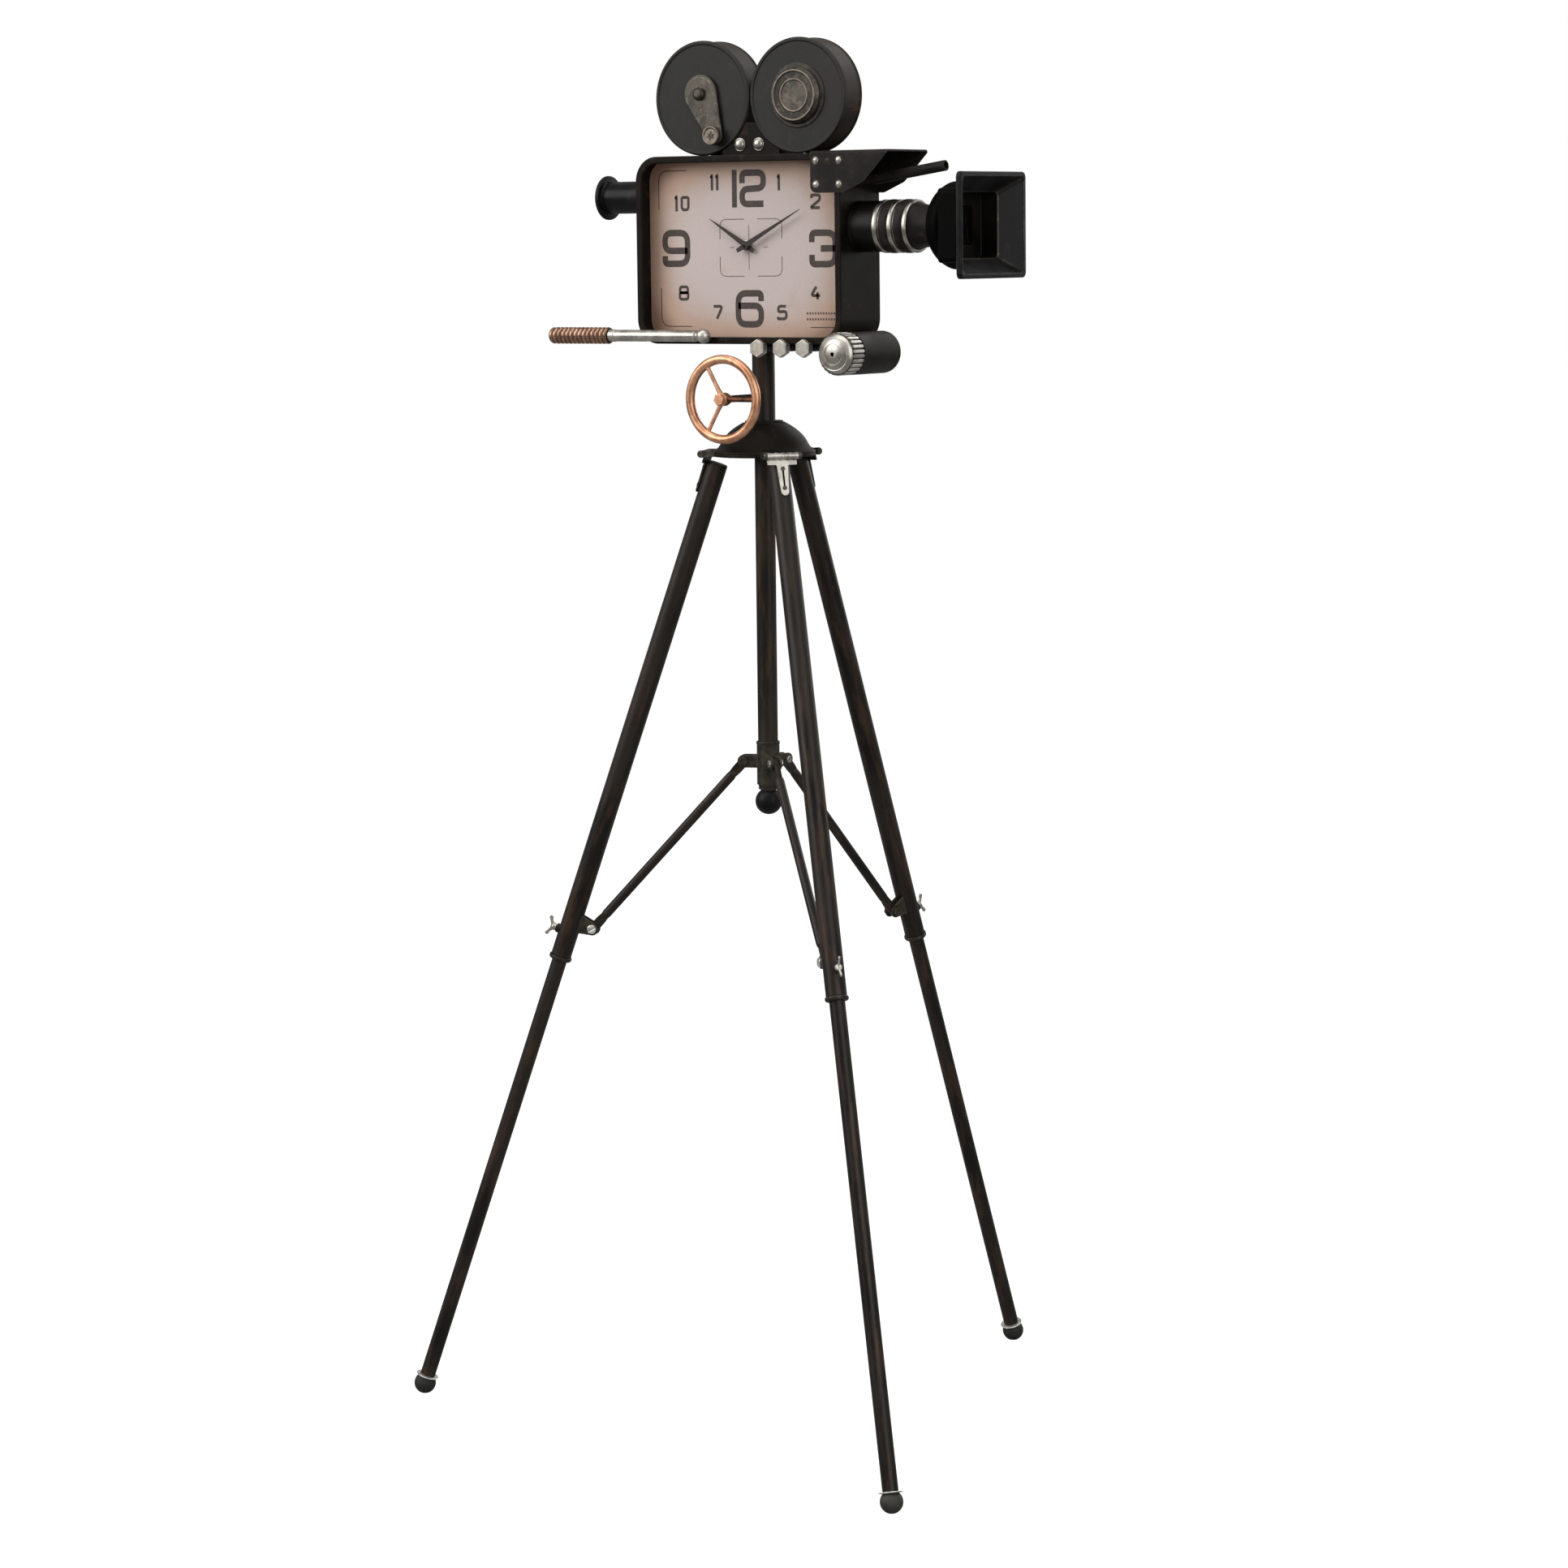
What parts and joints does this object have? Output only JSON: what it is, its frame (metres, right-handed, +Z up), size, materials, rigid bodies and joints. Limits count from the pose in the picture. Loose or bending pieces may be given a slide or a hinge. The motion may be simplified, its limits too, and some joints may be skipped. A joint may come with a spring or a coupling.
{
  "type": "tripod floor clock",
  "caption": "Floor clock shaped like an old film camera on a folding tripod, with telescoping legs, spreader, hand wheel and reels.",
  "frame": {"origin": "on the floor under the axis of the tripod column", "axes": "+Z up, +X the way the lens points, -Y the way the clock face looks"},
  "size_m": [0.768, 0.7287, 1.599],
  "materials": {
    "black_metal": "antique black paint rubbed through to brown along the edges",
    "black_enamel": "glossy black enamel over cast aluminium",
    "reel_metal": "slate black paint with worn brown rims",
    "pewter_metal": "dark aged pewter with bright high spots",
    "silver_metal": "satin silver with darkened grooves",
    "copper_metal": "satin copper plate with brown tarnish",
    "dial_board": "matt beige print that darkens to brown at its edges",
    "hand_paint": "matt dark brown paint",
    "black_plastic": "black moulded plastic",
    "cell_sleeve": "plain grey wrapper of a dry cell",
    "foot_rubber": "black rubber, dusty where it meets the floor"
  },
  "bodies": {
    "hub": {"tripod_dome": "black_metal", "column_tube": "black_metal", "column_finial": "black_metal", "post": "black_metal", "case": "black_metal", "rear_cover": "black_metal", "dial": "dial_board", "movement": "black_plastic", "battery": "cell_sleeve", "hand_nut": "silver_metal", "lens_barrel": "black_enamel", "lens_ring_1": "silver_metal", "lens_ring_2": "silver_metal", "lens_ring_3": "silver_metal", "lens_bell": "black_enamel", "lens_hood": "black_enamel", "eyepiece": "black_enamel", "visor": "black_metal", "visor_rod": "black_metal", "reel_left": "reel_metal", "reel_right": "reel_metal", "reel_hub": "pewter_metal", "reel_bracket": "black_metal", "reel_bolt_1": "silver_metal", "reel_bolt_2": "silver_metal", "handle_bar": "silver_metal", "handle_grip": "copper_metal", "case_bolt_1": "silver_metal", "case_bolt_2": "silver_metal", "case_bolt_3": "silver_metal", "roller": "black_metal", "wheel_axle": "copper_metal"},
    "sleeve": {"spreader_sleeve": "black_metal"},
    "hour_hand": {"hour_hand": "hand_paint"},
    "minute_hand": {"minute_hand": "hand_paint"},
    "crank": {"reel_crank": "pewter_metal"},
    "knob": {"knurled_knob": "silver_metal"},
    "wheel": {"hand_wheel": "copper_metal"},
    "leg_left": {"leg_hinge_left": "pewter_metal", "upper_leg_left": "black_metal", "leg_ferrule_left": "pewter_metal"},
    "lower_leg_left": {"lower_leg_left": "black_metal", "foot_left": "foot_rubber"},
    "wing_screw_left": {"wing_screw_left": "silver_metal"},
    "strut_left": {"strut_left": "black_metal"},
    "leg_front": {"leg_hinge_front": "silver_metal", "upper_leg_front": "black_metal", "leg_ferrule_front": "pewter_metal"},
    "lower_leg_front": {"lower_leg_front": "black_metal", "foot_front": "foot_rubber"},
    "wing_screw_front": {"wing_screw_front": "silver_metal"},
    "strut_front": {"strut_front": "black_metal"},
    "leg_rear": {"leg_hinge_rear": "pewter_metal", "upper_leg_rear": "black_metal", "leg_ferrule_rear": "pewter_metal"},
    "lower_leg_rear": {"lower_leg_rear": "black_metal", "foot_rear": "foot_rubber"},
    "wing_screw_rear": {"wing_screw_rear": "silver_metal"},
    "strut_rear": {"strut_rear": "black_metal"}
  },
  "joints": [
    {"name": "sleeve_slide", "type": "slide", "parent": "hub", "child": "sleeve", "axis": [0, 0, 1], "range_m": [0, 0.0557]},
    {"name": "leg_fold_left", "type": "hinge", "parent": "hub", "child": "leg_left", "pos_m": [-0.06591, -0.02504, 1.12951], "axis": [0.3551, -0.9348, 0], "range_deg": [0, 18]},
    {"name": "leg_slide_left", "type": "slide", "parent": "leg_left", "child": "lower_leg_left", "axis": [-0.3028, -0.115, -0.9461], "range_m": [-0.5, 0.04]},
    {"name": "wing_screw_turn_left", "type": "hinge", "parent": "leg_left", "child": "wing_screw_left", "pos_m": [-0.22851, -0.0868, 0.5665], "axis": [-0.8844, -0.336, 0.3239], "range_deg": [0, 540]},
    {"name": "strut_swing_left", "type": "hinge", "parent": "sleeve", "child": "strut_left", "pos_m": [-0.02618, -0.00994, 0.77322], "axis": [0.3551, -0.9348, 0], "range_deg": [0, 41.31]},
    {"name": "leg_fold_front", "type": "hinge", "parent": "hub", "child": "leg_front", "pos_m": [0.05463, -0.04456, 1.12951], "axis": [0.632, 0.7749, 0], "range_deg": [0, 18]},
    {"name": "leg_slide_front", "type": "slide", "parent": "leg_front", "child": "lower_leg_front", "axis": [0.251, -0.2047, -0.9461], "range_m": [-0.5, 0.04]},
    {"name": "wing_screw_turn_front", "type": "hinge", "parent": "leg_front", "child": "wing_screw_front", "pos_m": [0.18943, -0.1545, 0.5665], "axis": [0.7332, -0.598, 0.3239], "range_deg": [0, 540]},
    {"name": "strut_swing_front", "type": "hinge", "parent": "sleeve", "child": "strut_front", "pos_m": [0.0217, -0.0177, 0.77322], "axis": [0.632, 0.7749, 0], "range_deg": [0, 41.31]},
    {"name": "leg_fold_rear", "type": "hinge", "parent": "hub", "child": "leg_rear", "pos_m": [0.01127, 0.06959, 1.12951], "axis": [-0.9871, 0.1599, 0], "range_deg": [0, 18]},
    {"name": "leg_slide_rear", "type": "slide", "parent": "leg_rear", "child": "lower_leg_rear", "axis": [0.0518, 0.3198, -0.9461], "range_m": [-0.5, 0.04]},
    {"name": "wing_screw_turn_rear", "type": "hinge", "parent": "leg_rear", "child": "wing_screw_rear", "pos_m": [0.03908, 0.2413, 0.5665], "axis": [0.1513, 0.9339, 0.3239], "range_deg": [0, 540]},
    {"name": "strut_swing_rear", "type": "hinge", "parent": "sleeve", "child": "strut_rear", "pos_m": [0.00448, 0.02764, 0.77322], "axis": [-0.9871, 0.1599, 0], "range_deg": [0, 41.31]},
    {"name": "minute_hand_turn", "type": "hinge", "parent": "hub", "child": "minute_hand", "pos_m": [-0.0075, -0.0246, 1.36621], "axis": [0, 1, 0], "continuous": true},
    {"name": "hour_hand_turn", "type": "hinge", "parent": "hub", "child": "hour_hand", "pos_m": [-0.0075, -0.0212, 1.36621], "axis": [0, 1, 0], "continuous": true},
    {"name": "crank_turn", "type": "hinge", "parent": "hub", "child": "crank", "pos_m": [-0.07, -0.017, 1.53871], "axis": [0, 1, 0], "continuous": true},
    {"name": "knob_turn", "type": "hinge", "parent": "hub", "child": "knob", "pos_m": [0.141, -0.05, 1.24527], "axis": [0, 1, 0], "continuous": true},
    {"name": "wheel_turn", "type": "hinge", "parent": "hub", "child": "wheel", "pos_m": [0, -0.082, 1.19421], "axis": [0, 1, 0], "continuous": true}
  ],
  "couplings": [
    {"joint": "strut_swing_left", "follows": "leg_fold_left", "ratio": 2.2923},
    {"joint": "leg_fold_front", "follows": "leg_fold_left", "ratio": 1},
    {"joint": "strut_swing_front", "follows": "leg_fold_left", "ratio": 2.2923},
    {"joint": "leg_fold_rear", "follows": "leg_fold_left", "ratio": 1},
    {"joint": "strut_swing_rear", "follows": "leg_fold_left", "ratio": 2.2923},
    {"joint": "sleeve_slide", "follows": "leg_fold_left", "m_per_rad": 0.17691},
    {"joint": "hour_hand_turn", "follows": "minute_hand_turn", "ratio": 0.083333}
  ]
}
